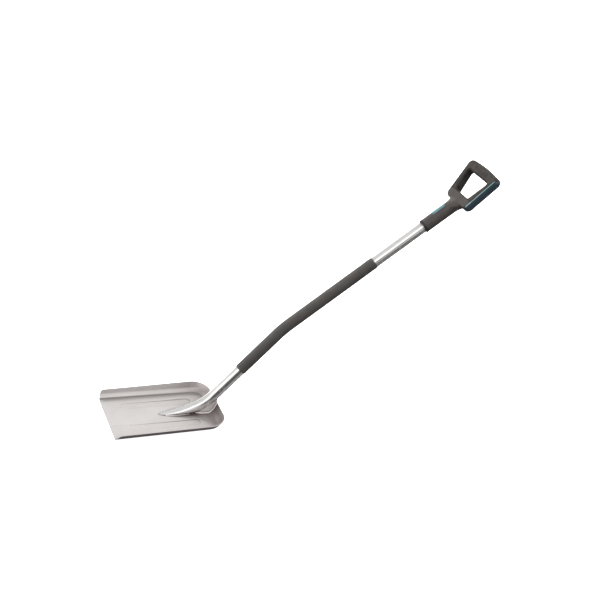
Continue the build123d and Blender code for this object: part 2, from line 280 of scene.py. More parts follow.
# the rim falls towards the front, where the wall also stands steeper
mark("VERT", lambda v: v.co.z > rim_z - near)
rim_slope = atan2(rim_z - rim_front_z, rim_rear_x - front_x - front_rake)
for v in [v for v in bmesh.from_edit_mesh(pan.data).verts if v.select]:
    v.co.z -= (rim_rear_x - v.co.x) * tan(rim_slope)
straight_end = rear_x - floor_corner
for hand in (1, -1):
    mark("VERT", lambda v: v.co.x < front_x - cut_off + mm and v.co.y * hand > 0 and v.co.z > bevel_top + mm)
    pull = (wall_out - wall_out_front) * (straight_end - front_x + cut_off) / (straight_end - front_x)
    bpy.ops.transform.translate(value=(0, -hand * pull, 0))
# the press leaves a round bend below the wall and another round the floor
mark("EDGE", lambda e: all(abs(v.co.z - bevel_top) < near for v in e.verts))
bpy.ops.mesh.bevel(offset=bend_size, segments=3)
mark("EDGE", lambda e: all(abs(v.co.z - sheet) < near for v in e.verts))
bpy.ops.mesh.bevel(offset=fold_size, segments=4)
# sunk beads, deepest towards the heel
mark("FACE", lambda f: len(f.verts) > 8 and on_floor(f))
bpy.ops.mesh.delete(type="ONLY_FACE")
for hand in (1, -1):
    bpy.ops.mesh.select_mode(type="VERT")
    place = (bead_middle_x, hand * bead_side, sheet)
    bpy.ops.mesh.primitive_plane_add(size=1, location=place)
    bpy.ops.transform.resize(value=(bead_length, bead_width, 1), center_override=place)
    bpy.ops.mesh.bevel(offset=(bead_width - near) / 2, segments=10, affect="VERTICES")
    mark("FACE", lambda f: len(f.verts) > 8 and middle(f).y * hand > 0 and on_floor(f))
    bpy.ops.mesh.inset(thickness=bead_slope, depth=-bead_depth)
    bpy.ops.mesh.select_mode(type="VERT")
    for v in [v for v in bmesh.from_edit_mesh(pan.data).verts if v.select]:
        fade = max(0, (bead_middle_x - v.co.x) / (bead_length / 2))
        v.co.z += bead_fade * bead_depth * min(1, fade)
mark("EDGE", lambda e: e.is_boundary and all(abs(v.co.z - sheet) < near for v in e.verts))
bpy.ops.mesh.fill()
# cut the front on its rake, and round the walls' top corners
bpy.ops.mesh.select_all(action="SELECT")
rise = rim_front_z - sheet
bpy.ops.mesh.bisect(
    plane_co=(front_x, 0, sheet),
    plane_no=(rise, 0, -front_rake),
    clear_inner=True,
)
bpy.ops.mesh.select_all(action="SELECT")
bpy.ops.mesh.remove_doubles(threshold=merge_gap)
mark("VERT", lambda v: v.co.x < front_x + 1.3 * front_rake and v.co.z > rim_front_z - mm)
bpy.ops.mesh.bevel(offset=rim_corner, segments=5, affect="VERTICES")
bpy.ops.mesh.select_all(action="SELECT")
bpy.ops.mesh.normals_make_consistent(inside=False)
bpy.ops.object.mode_set(mode="OBJECT")
if sum(p.normal.z * p.area for p in pan.data.polygons) < 0:
    pan.data.flip_normals()
use_modifier(pan, "SOLIDIFY", thickness=sheet, offset=-1, use_even_offset=True)
break_edges(pan, sheet_edge, 2)
# the sole stays flat under the beads
for v in pan.data.vertices:
    v.co.z = max(v.co.z, 0)
finish_piece(pan, "pan_aluminium", "blade_pan", smooth=30)
use_modifier(pan, "WEIGHTED_NORMAL", weight=100, keep_sharp=True)
pan_metal = satin_aluminium(
    "pan_sheet", (0.62, 0.595, 0.58), metal=0.6, rough=0.32,
    grain=(6, 320, 320), crease_reach=9 * mm, hollow_reach=110 * mm,
)
pan.data.materials.append(pan_metal)
# painted shade: a dark line where the floor turns up and where the beads' sides slope, fainter where they
# face left
crease_steep = 0.955
crease_flat = 0.997
crease_top = sheet + 2.4 * mm
crease_front = front_x + 0.5 * mm
crease_line_shade = (0.26, 0.24, 0.23)
nodes = pan_metal.node_tree.nodes
links = pan_metal.node_tree.links
spot = nodes.new("ShaderNodeTexCoord")
place = nodes.new("ShaderNodeSeparateXYZ")
slope = nodes.new("ShaderNodeNewGeometry")
facing = nodes.new("ShaderNodeSeparateXYZ")
links.new(spot.outputs["Object"], place.inputs[0])
links.new(slope.outputs["True Normal"], facing.inputs[0])
upright = nodes.new("ShaderNodeMath")
upright.operation = "ABSOLUTE"
links.new(facing.outputs["Z"], upright.inputs[0])
crease = map_range(nodes, links, upright.outputs[0], crease_steep, crease_flat, 1, 0)
for value in (
    map_range(nodes, links, facing.outputs["Y"], -0.2, 0.3, 1, 0.3),
    map_range(nodes, links, place.outputs["Z"], crease_top, crease_top + mm, 1, 0),
    map_range(nodes, links, place.outputs["X"], crease_front, crease_front + 2 * mm, 0, 1),
):
    both = nodes.new("ShaderNodeMath")
    both.operation = "MULTIPLY"
    links.new(crease, both.inputs[0])
    links.new(value, both.inputs[1])
    crease = both.outputs[0]
shader = nodes["Principled BSDF"]
unshaded_tone = shader.inputs["Base Color"].links[0].from_socket
links.new(mix_colours(nodes, links, crease, unshaded_tone, crease_line_shade), shader.inputs["Base Color"])

# ---------- shaft tube ----------
# One round aluminium tube, 32 mm across. Its foot is pressed to a low spear point that lies flat on
# the pan's floor, and the tube rises from it in a long neck, then bends back once under the sleeve.
tube_radius = 16.0 * mm
neck_radius = 127.0 * mm
neck_start_back = 78.7 * mm
neck_start_lift = 8.0 * mm
neck_start_rise = radians(4.5)
lower_rise = radians(51.1)
upper_rise = radians(41.1)
bend_radius = 260.0 * mm
lower_length = 280.3 * mm
upper_length = 588.0 * mm
foot_length = 102.0 * mm
foot_rise = radians(17.9)
foot_lift = 13.76 * mm
foot_lift_curve = 1.85
foot_rise_curve = 1.5
foot_width_curve = 0.66
foot_height_curve = 0.98
foot_tip_half = 0.9 * mm
foot_tip_share = 0.09
foot_bury = 0.2 * mm
foot_steps = 22
foot_step_curve = 1.3
neck_steps = 20
bend_steps = 10


def heading(rise):
    """The direction in XZ that rises by this angle."""
    return Vector((cos(rise), 0, sin(rise)))


def under(rise):
    """The direction in XZ square to that heading, on its lower side."""
    return Vector((sin(rise), 0, -cos(rise)))


neck_start = Vector((rear_x - neck_start_back, 0, sheet + neck_start_lift))
neck_centre = neck_start - neck_radius * under(neck_start_rise)
neck_top = neck_centre + neck_radius * under(lower_rise)
bend_point = neck_top + lower_length * heading(lower_rise)
tube_end = bend_point + upper_length * heading(upper_rise)
bend_reach = bend_radius * tan((lower_rise - upper_rise) / 2)
bend_centre = bend_point - bend_reach * heading(lower_rise) + bend_radius * under(lower_rise)
bend_distances = [-bend_reach + 2 * bend_reach * k / bend_steps for k in range(bend_steps + 1)]


def shaft_station(distance):
    """The shaft's centre line at this distance past the bend, as a place and its rise."""
    if distance <= -bend_reach:
        return bend_point + distance * heading(lower_rise), lower_rise
    if distance >= bend_reach:
        return bend_point + distance * heading(upper_rise), upper_rise
    rise = lower_rise + (upper_rise - lower_rise) * (distance + bend_reach) / (2 * bend_reach)
    return bend_centre - bend_radius * under(rise), rise


def start_ring(name, radius, station, fill="NOTHING", corners=64):
    """Start a piece with a ring square to the shaft at a station, and open it for editing."""
    place, rise = station
    bpy.ops.object.select_all(action="DESELECT")
    bpy.ops.mesh.primitive_circle_add(
        vertices=corners, radius=radius, fill_type=fill, location=place, rotation=(0, pi / 2 - rise, 0)
    )
    bpy.ops.object.transform_apply()
    piece = bpy.context.object
    piece.name = name
    piece.data.name = name
    bpy.ops.object.mode_set(mode="EDIT")
    bpy.ops.mesh.select_mode(type="EDGE")
    bpy.ops.mesh.select_all(action="SELECT")
    return piece


def lead_on(old, new, wider=1.0, taller=1.0):
    """Extrude the selected ring from one station to the next, and widen it on the way."""
    bpy.ops.mesh.extrude_region_move(TRANSFORM_OT_translate={"value": new[0] - old[0]})
    if wider != 1 or taller != 1:
        bpy.ops.transform.resize(value=(1, wider, taller), center_override=new[0])
    if new[1] != old[1]:
        bpy.ops.transform.rotate(value=new[1] - old[1], orient_axis="Y", center_override=new[0])


def foot_station(share):
    """The foot's centre line at this share of its length, with its half-width and half-height."""
    start = neck_centre.x + neck_radius * sin(foot_rise) - foot_length
    place = Vector((start + share * foot_length, 0, sheet + foot_lift * share ** foot_lift_curve))
    rise = foot_rise * max(0, 2 * share - 1) ** foot_rise_curve
    half_width = max(tube_radius * sin(pi / 2 * share ** foot_width_curve), foot_tip_half)
    half_height = tube_radius * (foot_tip_share + (1 - foot_tip_share) * share ** foot_height_curve)
    return (place, rise), half_width, half_height


station, half_width, half_height = foot_station(0)
tube = start_ring("shaft_tube", 1.0 * mm, station, "NGON")
bpy.ops.transform.resize(value=(1, half_width / mm, half_height / mm), center_override=station[0])
for step in range(1, foot_steps + 1):
    past = (station, half_width, half_height)
    station, half_width, half_height = foot_station((step / foot_steps) ** foot_step_curve)
    lead_on(past[0], station, half_width / past[1], half_height / past[2])
for step in range(1, neck_steps + 1):
    rise = foot_rise + (lower_rise - foot_rise) * step / neck_steps
    past = station
    station = (neck_centre + neck_radius * under(rise), rise)
    lead_on(past, station)
for distance in bend_distances + [upper_length]:
    past = station
    station = shaft_station(distance)
    lead_on(past, station)
bpy.ops.mesh.select_all(action="SELECT")
bpy.ops.mesh.normals_make_consistent(inside=False)
bpy.ops.mesh.bisect(
    plane_co=(0, 0, sheet - foot_bury), plane_no=(0, 0, 1), use_fill=True, clear_inner=True
)
bpy.ops.object.mode_set(mode="OBJECT")
finish_piece(tube, "tube_aluminium", "shaft_tube", smooth=45)
tube_metal = satin_aluminium(
    "drawn_tube", (0.86, 0.85, 0.835), metal=1.0, rough=0.24,
    grain=(40, 260, 40), crease_reach=7 * mm, hollow_reach=20 * mm,
)
tube.data.materials.append(tube_metal)

# ---------- heel web ----------
# A block of aluminium, welded in under the neck. It fills the wedge between the tube, the pan's floor
# and its rear wall, and narrows towards both ends.
web_length = 43.0 * mm
web_half_middle = 13.5 * mm
web_end_share = 0.08
web_fullness = 0.6
web_sink = 0.3 * mm
web_short = 0.8 * mm
web_edge = 1.2 * mm
web_slices = 14
web_front_x = rear_x - web_length


def web_half(share):
    """The web's half-width at this share of its length: full in the middle, narrow at both ends."""
    turn = pi * (web_end_share + (1 - 2 * web_end_share) * share)
    return web_half_middle * sin(turn) ** web_fullness


def pan_height(x):
    """The height of the pan's inner face on the middle line, from the floor up the rear wall."""
    if x < rear_x:
        return sheet
    if x < rear_x + bevel_out:
        return sheet + bevel_up * (x - rear_x) / bevel_out
    return bevel_top + wall_up * (x - rear_x - bevel_out) / wall_out


bpy.ops.object.select_all(action="DESELECT")
bpy.ops.mesh.primitive_cube_add(size=1, location=(0.5, 0, 0.5))
web = bpy.context.object
web.name = "heel_web"
web.data.name = "heel_web"
bpy.ops.object.transform_apply()
bpy.ops.object.mode_set(mode="EDIT")
for k in range(1, web_slices):
    bpy.ops.mesh.select_all(action="SELECT")
    bpy.ops.mesh.bisect(plane_co=(k / web_slices, 0, 0), plane_no=(1, 0, 0))
for v in bmesh.from_edit_mesh(web.data).verts:
    share = v.co.x
    x = web_front_x + share * (rim_rear_x - web_short - web_front_x)
    crown = neck_centre.z - sqrt(max(neck_radius ** 2 - (x - neck_centre.x) ** 2, 0))
    v.co = (x, v.co.y * 2 * web_half(share), pan_height(x) - web_sink if v.co.z < 0.5 else crown)
bmesh.update_edit_mesh(web.data)
bpy.ops.mesh.select_all(action="SELECT")
bpy.ops.mesh.normals_make_consistent(inside=False)
bpy.ops.object.mode_set(mode="OBJECT")
break_edges(web, web_edge, 3, least=50)
finish_piece(web, "pan_aluminium", "heel_web")
use_modifier(web, "WEIGHTED_NORMAL", weight=100, keep_sharp=True)
web_metal = satin_aluminium(
    "web_metal", (0.80, 0.78, 0.77), metal=0.35, rough=0.36,
    grain=(90, 90, 90), crease_reach=4 * mm, hollow_reach=9 * mm,
)
web.data.materials.append(web_metal)

# ---------- welds ----------
# Hand-laid beads: along both sides of the foot, and along the web where it meets the pan. Each is a
# row of small overlapping puddles of metal.
weld_radius = 2.4 * mm
weld_lift = 0.3 * mm
weld_short = 1.5 * mm
foot_weld_share = 0.85
foot_weld_from = 0.2
foot_weld_to = 0.88
foot_weld_lift = 0.2 * mm
foot_weld_points = 12
web_weld_points = 16
puddle_step = 2.1 * mm
puddle_length = 0.72
puddle_height = 0.9
puddle_play = 0.07


def weld_bead(name, node, route, radius):
    """Lay overlapping puddles along a list of places, and join them as one bead."""
    places = []
    carry = 0.0
    for a, b in zip(route, route[1:]):
        length = (b - a).length
        while carry <= length:
            places.append((a + (b - a) * carry / length, (b - a).normalized()))
            carry += puddle_step
        carry -= length
    bpy.ops.object.select_all(action="DESELECT")
    puddles = []
    for count, (place, along) in enumerate(places):
        bpy.ops.mesh.primitive_uv_sphere_add(segments=14, ring_count=8, radius=radius, location=place)
        puddle = bpy.context.object
        puddle.rotation_euler = along.to_track_quat("X", "Z").to_euler()
        # no two puddles are quite alike
        wide = 1 + puddle_play * sin(count * 2.3)
        tall = puddle_height + puddle_play * cos(count * 1.7)
        puddle.scale = (puddle_length, wide, tall)
        puddles.append(puddle)
    for puddle in puddles:
        puddle.select_set(True)
    bpy.context.view_layer.objects.active = puddles[0]
    bpy.ops.object.join()
    bead = bpy.context.object
    bead.name = name
    bead.data.name = name
    bpy.ops.object.transform_apply()
    finish_piece(bead, "weld_metal", node, smooth=60)
    bead.data.materials.clear()
    bead.data.materials.append(weld_metal)


weld_metal, nodes, links, shader = new_finish("weld_bead", (0.92, 0.91, 0.89), 0.45, 0.32)
scale_noise = stretched_noise(nodes, links, (1, 1, 1), 900.0, 3.0)
links.new(map_range(nodes, links, scale_noise, 0.3, 0.7, 0.24, 0.44), shader.inputs["Roughness"])
add_bump(nodes, links, shader, scale_noise, strength=0.3, distance=0.15 * mm)
for side, hand in (("left", 1), ("right", -1)):
    seam = []
    for k in range(foot_weld_points + 1):
        share = foot_weld_from + (foot_weld_to - foot_weld_from) * k / foot_weld_points
        (place, rise), half_width, half_height = foot_station(share)
        drop = min(1, (place.z - sheet) / half_height)
        out = half_width * sqrt(max(1 - drop ** 2, 0.05))
        seam.append(Vector((place.x, hand * out, sheet + foot_weld_lift)))
    weld_bead(f"foot_weld_{side}", f"foot_weld_{side}", seam, foot_weld_share * weld_radius)
    seam = []
    for k in range(web_weld_points + 1):
        share = k / web_weld_points
        x = web_front_x + share * (rim_rear_x - weld_short - web_front_x)
        seam.append(Vector((x, hand * (web_half(share) + weld_lift), pan_height(x) + weld_lift)))
    weld_bead(f"heel_weld_{side}", f"heel_weld_{side}", seam, weld_radius)

# ---------- sleeve ----------
# A thin plastic sleeve for the lower hand. It is shrunk on the tube over its bend, and cut square at
# both ends.
sleeve_wall = 1.4 * mm
sleeve_below = 172.4 * mm
sleeve_above = 327.1 * mm
sleeve_end = 2.0 * mm
sleeve_edge = 0.4 * mm
station = shaft_station(-sleeve_below)
sleeve = start_ring("grip_sleeve", tube_radius + sleeve_wall, station)
ends = [sleeve_above - sleeve_end, sleeve_above]
for distance in [sleeve_end - sleeve_below] + bend_distances + ends:
    past = station
    station = shaft_station(distance)
    lead_on(past, station)
bpy.ops.mesh.select_all(action="SELECT")
bpy.ops.mesh.normals_make_consistent(inside=False)
bpy.ops.object.mode_set(mode="OBJECT")
use_modifier(sleeve, "SOLIDIFY", thickness=sleeve_wall, offset=-1, use_even_offset=True)
break_edges(sleeve, sleeve_edge, 3)
finish_piece(sleeve, "sleeve_plastic", "grip_sleeve")
sleeve_skin, nodes, links, shader = new_finish("sleeve_skin", (0.088, 0.085, 0.079), 0.0, 0.62)
pebbles = stretched_noise(nodes, links, (1, 1, 1), 700.0, 2.0)
clouds = stretched_noise(nodes, links, (1, 1, 1), 22.0, 4.0)
cloud_share = map_range(nodes, links, clouds, 0.35, 0.65, 0, 1)
tone = mix_colours(nodes, links, cloud_share, (0.084, 0.078, 0.071), (0.066, 0.060, 0.056))
links.new(tone, shader.inputs["Base Color"])
links.new(map_range(nodes, links, pebbles, 0.3, 0.7, 0.52, 0.72), shader.inputs["Roughness"])
add_bump(nodes, links, shader, pebbles, strength=0.35, distance=0.25 * mm)
sleeve.data.materials.append(sleeve_skin)

# ---------- handle ----------
# A D-shaped handle set at a steeper angle than the shaft. Its collar and yoke are one hard moulding
# that takes the tube; the crossbar and both struts above the seam have a soft skin.
collar_wall = 3.85 * mm
tube_in_collar = 83.8 * mm
collar_length = 95.0 * mm
yoke_length = 34.3 * mm
yoke_half_width = 39.0 * mm
yoke_half_depth = 13.0 * mm
yoke_flare = 1.4
yoke_steps = 6
ring_length = 6.0 * mm
collar_spare = 4.0 * mm
handle_rise = radians(56.3)
handle_low = -11.0 * mm
handle_high = 117.0 * mm
handle_half_low = 50.9 * mm
handle_half_high = 72.2 * mm
handle_corner = 13.0 * mm
handle_depth = 30.0 * mm
opening_low = 19.8 * mm
opening_high = 88.0 * mm
opening_half_low = 32.7 * mm
opening_half_high = 51.6 * mm
opening_corner = 8.0 * mm
edge_round = 7.0 * mm
crossbar_bow = 3.5 * mm
crossbar_reach = 62.0 * mm
crossbar_cuts = 8
seam_height = 16.4 * mm
seam_gap = 0.5 * mm
seam_spare = 6.0 * mm
seam_edge = 0.5 * mm
corner_steps = 8
blend_grain = 1.1 * mm
blend_passes = 12
collar_radius = tube_radius + collar_wall
collar_start = tube_end - tube_in_collar * heading(upper_rise)
collar_top = collar_start + collar_length * heading(upper_rise)
yoke_point = collar_top + yoke_length * heading(upper_rise)
side_lean = atan2(handle_half_high - handle_half_low, handle_high - handle_low)
handle_seat = Matrix.Translation(yoke_point) @ Matrix.Rotation(-handle_rise, 4, "Y")


def seat_on_handle(piece):
    """Move a piece drawn flat at the origin, its X up the handle, to the handle's own plane."""
    bpy.ops.object.select_all(action="DESELECT")
    piece.select_set(True)
    bpy.context.view_layer.objects.active = piece
    piece.matrix_world = handle_seat
    bpy.ops.object.transform_apply()


def rounded_trapezoid(low, high, half_low, half_high, corner):
    """Add a flat trapezoid with round corners to the open mesh."""
    flat_panel(low, high, half_low, half_high)
    lean = atan2(half_high - half_low, high - low)
    for top in (True, False):
        end = high if top else low
        span = 2 * (half_high if top else half_low)
        mark("VERT", lambda v: (
            v.is_boundary and abs(v.co.x - end) < near and len(v.link_edges) == 2
            and any(abs(e.calc_length() - span) < near for e in v.link_edges)
        ))
        turn = pi / 2 + lean if top else pi / 2 - lean
        bpy.ops.mesh.bevel(offset=corner * tan(turn / 2), segments=corner_steps, affect="VERTICES")


def handle_frame(name):
    """The D-shaped frame, solid and with round edges, drawn flat at the origin."""
    piece = new_piece(name)
    rounded_trapezoid(handle_low, handle_high, handle_half_low, handle_half_high, handle_corner)
    rounded_trapezoid(opening_low, opening_high, opening_half_low, opening_half_high, opening_corner)
    bpy.ops.mesh.select_all(action="SELECT")
    bpy.ops.mesh.delete(type="ONLY_FACE")
    bpy.ops.mesh.select_mode(type="EDGE")
    bpy.ops.mesh.select_all(action="SELECT")
    bpy.ops.mesh.bridge_edge_loops()
    bpy.ops.mesh.select_all(action="SELECT")
    bpy.ops.transform.translate(value=(0, 0, -handle_depth / 2))
    bpy.ops.mesh.extrude_region_move(TRANSFORM_OT_translate={"value": (0, 0, handle_depth)})
    bpy.ops.mesh.select_all(action="SELECT")
    bpy.ops.mesh.normals_make_consistent(inside=False)
    mark("EDGE", lambda e: (
        abs(abs(middle(e).z) - handle_depth / 2) < near and e.calc_face_angle(0) > radians(80)
    ))
    bpy.ops.mesh.bevel(offset=edge_round, segments=6)
    # the crossbar is a little fuller in the middle
    for k in range(1 - crossbar_cuts, crossbar_cuts):
        bpy.ops.mesh.select_all(action="SELECT")
        bpy.ops.mesh.bisect(plane_co=(0, crossbar_reach * k / crossbar_cuts, 0), plane_no=(0, 1, 0))
    for v in bmesh.from_edit_mesh(piece.data).verts:
        out = max(0, (v.co.x - opening_high) / (handle_high - opening_high))
        v.co.x += crossbar_bow * out * max(0, 1 - (v.co.y / crossbar_reach) ** 2)
    bmesh.update_edit_mesh(piece.data)
    return piece


def cut_across(place, along):
    """Cut the open mesh square to a direction, close it, and drop what lies past the cut."""
    bpy.ops.mesh.select_all(action="SELECT")
    bpy.ops.mesh.bisect(plane_co=place, plane_no=along, use_fill=True, clear_outer=True)


soft_grip = handle_frame("soft_grip")
cut_across((seam_height + seam_gap / 2, 0, 0), (-1, 0, 0))
bpy.ops.object.mode_set(mode="OBJECT")
break_edges(soft_grip, seam_edge, 2)
seat_on_handle(soft_grip)
finish_piece(soft_grip, "soft_grip", "crossbar_grip")
grip_skin, nodes, links, shader = new_finish("grip_skin", (0.052, 0.046, 0.042), 0.0, 0.7)
mottle = stretched_noise(nodes, links, (1, 1, 1), 95.0, 5.0)
pebbles = stretched_noise(nodes, links, (1, 1, 1), 1100.0, 2.0)
mottle_share = map_range(nodes, links, mottle, 0.4, 0.62, 0, 1)
tone = mix_colours(nodes, links, mottle_share, (0.029, 0.025, 0.023), (0.055, 0.045, 0.038))
# painted shade: darker where the skin is least open, inside the opening and under the yoke
tone = mix_colours(nodes, links, fold_shade(nodes, links, 50 * mm, 0.45), (0.008, 0.007, 0.007), tone)
links.new(tone, shader.inputs["Base Color"])
links.new(map_range(nodes, links, pebbles, 0.3, 0.7, 0.58, 0.8), shader.inputs["Roughness"])
add_bump(nodes, links, shader, pebbles, strength=0.4, distance=0.25 * mm)
soft_grip.data.materials.append(grip_skin)

frame_foot = handle_frame("frame_foot")
cut_across((seam_height + seam_spare, 0, 0), (1, 0, 0))
bpy.ops.object.mode_set(mode="OBJECT")
seat_on_handle(frame_foot)
# the collar flares into the yoke; both ends of the moulding are drawn long and then cut
station = (collar_start + (ring_length - collar_spare) * heading(upper_rise), upper_rise)
body = start_ring("handle_body", collar_radius, station, "NGON")
past = station
station = (collar_top, upper_rise)
lead_on(past, station)
width = collar_radius
depth = collar_radius
for step in range(1, yoke_steps + 1):
    share = step / yoke_steps
    past = station
    station = (collar_top + share * yoke_length * heading(upper_rise), upper_rise)
    new_width = collar_radius + (yoke_half_width - collar_radius) * share ** yoke_flare
    new_depth = collar_radius + (yoke_half_depth - collar_radius) * share
    lead_on(past, station, new_width / width)
    squeeze = new_depth / depth
    bpy.ops.transform.resize(value=(squeeze, 1, squeeze), center_override=station[0])
    width = new_width
    depth = new_depth
bpy.ops.mesh.select_all(action="SELECT")
bpy.ops.mesh.normals_make_consistent(inside=False)
bpy.ops.object.mode_set(mode="OBJECT")
bpy.ops.object.select_all(action="DESELECT")
frame_foot.select_set(True)
body.select_set(True)
bpy.context.view_layer.objects.active = body
bpy.ops.object.join()
use_modifier(body, "REMESH", mode="VOXEL", voxel_size=blend_grain)
use_modifier(body, "SMOOTH", factor=0.5, iterations=blend_passes)
bpy.ops.object.mode_set(mode="EDIT")
seam_place = yoke_point + (seam_height - seam_gap / 2) * heading(handle_rise)
cut_across(seam_place, heading(handle_rise))
cut_across(collar_start + ring_length * heading(upper_rise), -heading(upper_rise))
bpy.ops.object.mode_set(mode="OBJECT")
finish_piece(body, "handle_plastic", "handle_body", smooth=50)
body_plastic, nodes, links, shader = new_finish("handle_moulding", (0.044, 0.040, 0.039), 0.0, 0.42)
grain = stretched_noise(nodes, links, (1, 1, 1), 1500.0, 2.0)
rubs = stretched_noise(nodes, links, (1, 1, 1), 40.0, 5.0)
rub_share = map_range(nodes, links, rubs, 0.4, 0.62, 0, 1)
tone = mix_colours(nodes, links, rub_share, (0.058, 0.050, 0.047), (0.076, 0.064, 0.058))
# painted shade: darker where the moulding is least open, round the yoke and inside the opening
tone = mix_colours(nodes, links, fold_shade(nodes, links, 40 * mm, 0.45), (0.010, 0.009, 0.009), tone)
links.new(tone, shader.inputs["Base Color"])
links.new(map_range(nodes, links, rubs, 0.3, 0.7, 0.36, 0.5), shader.inputs["Roughness"])
add_bump(nodes, links, shader, grain, strength=0.25, distance=0.12 * mm)
body.data.materials.clear()
body.data.materials.append(body_plastic)

# ---------- side pads and trim lines ----------
# A soft, crowned pad wraps each side of the handle from corner to corner, inside a thin coloured
# line. Both are drawn flat and then laid round the frame's outline.
pad_length = 126.0 * mm
pad_width = 28.5 * mm
pad_crown = 9.5 * mm
pad_back = 2.75 * mm
pad_sink = 7.0 * mm
pad_tilt = 2.6 * mm
pad_wall = 1.5 * mm
pad_rings = 8
pad_cuts = 40
trim_width = 2.0 * mm
trim_height = 2.2 * mm
trim_lift = 1.1 * mm
trim_edge = 0.6 * mm
high_reach = handle_corner * tan((pi / 2 + side_lean) / 2)
low_reach = handle_corner * tan((pi / 2 - side_lean) / 2)
side_up = Vector((cos(side_lean), sin(side_lean), 0))
side_out = Vector((-sin(side_lean), cos(side_lean), 0))
side_low = Vector((handle_low, handle_half_low, 0)) + low_reach * side_up
side_high = Vector((handle_high, handle_half_high, 0)) - high_reach * side_up
side_middle = (side_low + side_high) / 2
side_half = (side_high - side_low).length / 2


def round_the_side(along, out, back):
    """The place, drawn flat, that lies this far along the side's outline, out from it and back."""
    past = abs(along) - side_half
    if past <= 0:
        return side_middle + along * side_up + out * side_out + Vector((0, 0, back))
    end = 1 if along > 0 else -1
    centre = (side_high if end > 0 else side_low) - handle_corner * side_out
    turn = past / handle_corner
    spoke = cos(turn) * side_out + end * sin(turn) * side_up
    return centre + (handle_corner + out) * spoke + Vector((0, 0, back))


def lay_on_side(piece, hand, lift):
    """Lay a plate drawn flat on one side of the handle, following its outline and round edges."""
    for v in piece.data.vertices:
        sink = pad_sink - pad_tilt * v.co.y / (pad_width / 2)
        place = round_the_side(v.co.x, v.co.z + lift - sink, v.co.y - pad_back)
        v.co = (place.x, hand * place.y, place.z)
    if hand < 0:
        piece.data.flip_normals()
    seat_on_handle(piece)


def stadium(length, width):
    """Add a flat plate with half-round ends to the open mesh."""
    bpy.ops.mesh.select_mode(type="VERT")
    bpy.ops.mesh.primitive_plane_add(size=1)
    bpy.ops.transform.resize(value=(length, width, 1), center_override=(0, 0, 0))
    bpy.ops.mesh.bevel(offset=width / 2 - merge_gap, segments=12, affect="VERTICES")
    bpy.ops.mesh.select_all(action="SELECT")
    bpy.ops.mesh.remove_doubles(threshold=10 * merge_gap)


def cut_lengthwise(half_length, steps):
    """Cut the open mesh across at even steps, so that it can follow a curve."""
    for k in range(1, steps):
        bpy.ops.mesh.select_all(action="SELECT")
        place = (half_length * (2 * k / steps - 1), 0, 0)
        bpy.ops.mesh.bisect(plane_co=place, plane_no=(1, 0, 0))


pad_rubber, nodes, links, shader = new_finish("pad_rubber", (0.026, 0.055, 0.068), 0.0, 0.5)
speckle = stretched_noise(nodes, links, (1, 1, 1), 1200.0, 2.0)
depths = stretched_noise(nodes, links, (1, 1, 1), 30.0, 3.0)
depth_share = map_range(nodes, links, depths, 0.4, 0.6, 0, 1)
tone = mix_colours(nodes, links, depth_share, (0.022, 0.050, 0.058), (0.030, 0.052, 0.075))
links.new(tone, shader.inputs["Base Color"])
links.new(map_range(nodes, links, speckle, 0.3, 0.7, 0.42, 0.6), shader.inputs["Roughness"])
add_bump(nodes, links, shader, speckle, strength=0.3, distance=0.15 * mm)
trim_plastic, nodes, links, shader = new_finish("trim_plastic", (0.30, 0.58, 0.60), 0.0, 0.35)
tint = stretched_noise(nodes, links, (1, 1, 1), 60.0, 3.0)
tint_share = map_range(nodes, links, tint, 0.4, 0.6, 0, 1)
tone = mix_colours(nodes, links, tint_share, (0.44, 0.78, 0.80), (0.52, 0.84, 0.87))
links.new(tone, shader.inputs["Base Color"])
for side, hand in (("left", 1), ("right", -1)):
    pad = new_piece(f"side_pad_{side}")
    stadium(pad_length, pad_width)
    bpy.ops.mesh.select_mode(type="FACE")
    bpy.ops.mesh.select_all(action="SELECT")
    for ring in range(1, pad_rings):
        turn, past = (pi / 2 * k / pad_rings for k in (ring, ring - 1))
        bpy.ops.mesh.inset(
            thickness=pad_width / 2 * (cos(past) - cos(turn)),
            depth=pad_crown * (sin(turn) - sin(past)),
        )
    cut_lengthwise(pad_length / 2, pad_cuts)
    bpy.ops.object.mode_set(mode="OBJECT")
    lay_on_side(pad, hand, 0)
    use_modifier(pad, "SOLIDIFY", thickness=pad_wall, offset=-1)
    finish_piece(pad, "pad_rubber", f"side_pad_{side}", smooth=60)
    pad.data.materials.append(pad_rubber)

    trim = new_piece(f"trim_line_{side}")
    stadium(pad_length + 2 * trim_width, pad_width + 2 * trim_width)
    mark("FACE", lambda f: True)
    bpy.ops.mesh.inset(thickness=trim_width)
    bpy.ops.mesh.delete(type="FACE")
    bpy.ops.mesh.select_all(action="SELECT")
    bpy.ops.mesh.extrude_region_move(TRANSFORM_OT_translate={"value": (0, 0, trim_height)})
    bpy.ops.mesh.select_all(action="SELECT")
    bpy.ops.mesh.normals_make_consistent(inside=False)
    cut_lengthwise(pad_length / 2, pad_cuts)
    bpy.ops.object.mode_set(mode="OBJECT")
    break_edges(trim, trim_edge, 3)
    lay_on_side(trim, hand, trim_lift)
    finish_piece(trim, "trim_plastic", f"trim_line_{side}")
    trim.data.materials.append(trim_plastic)

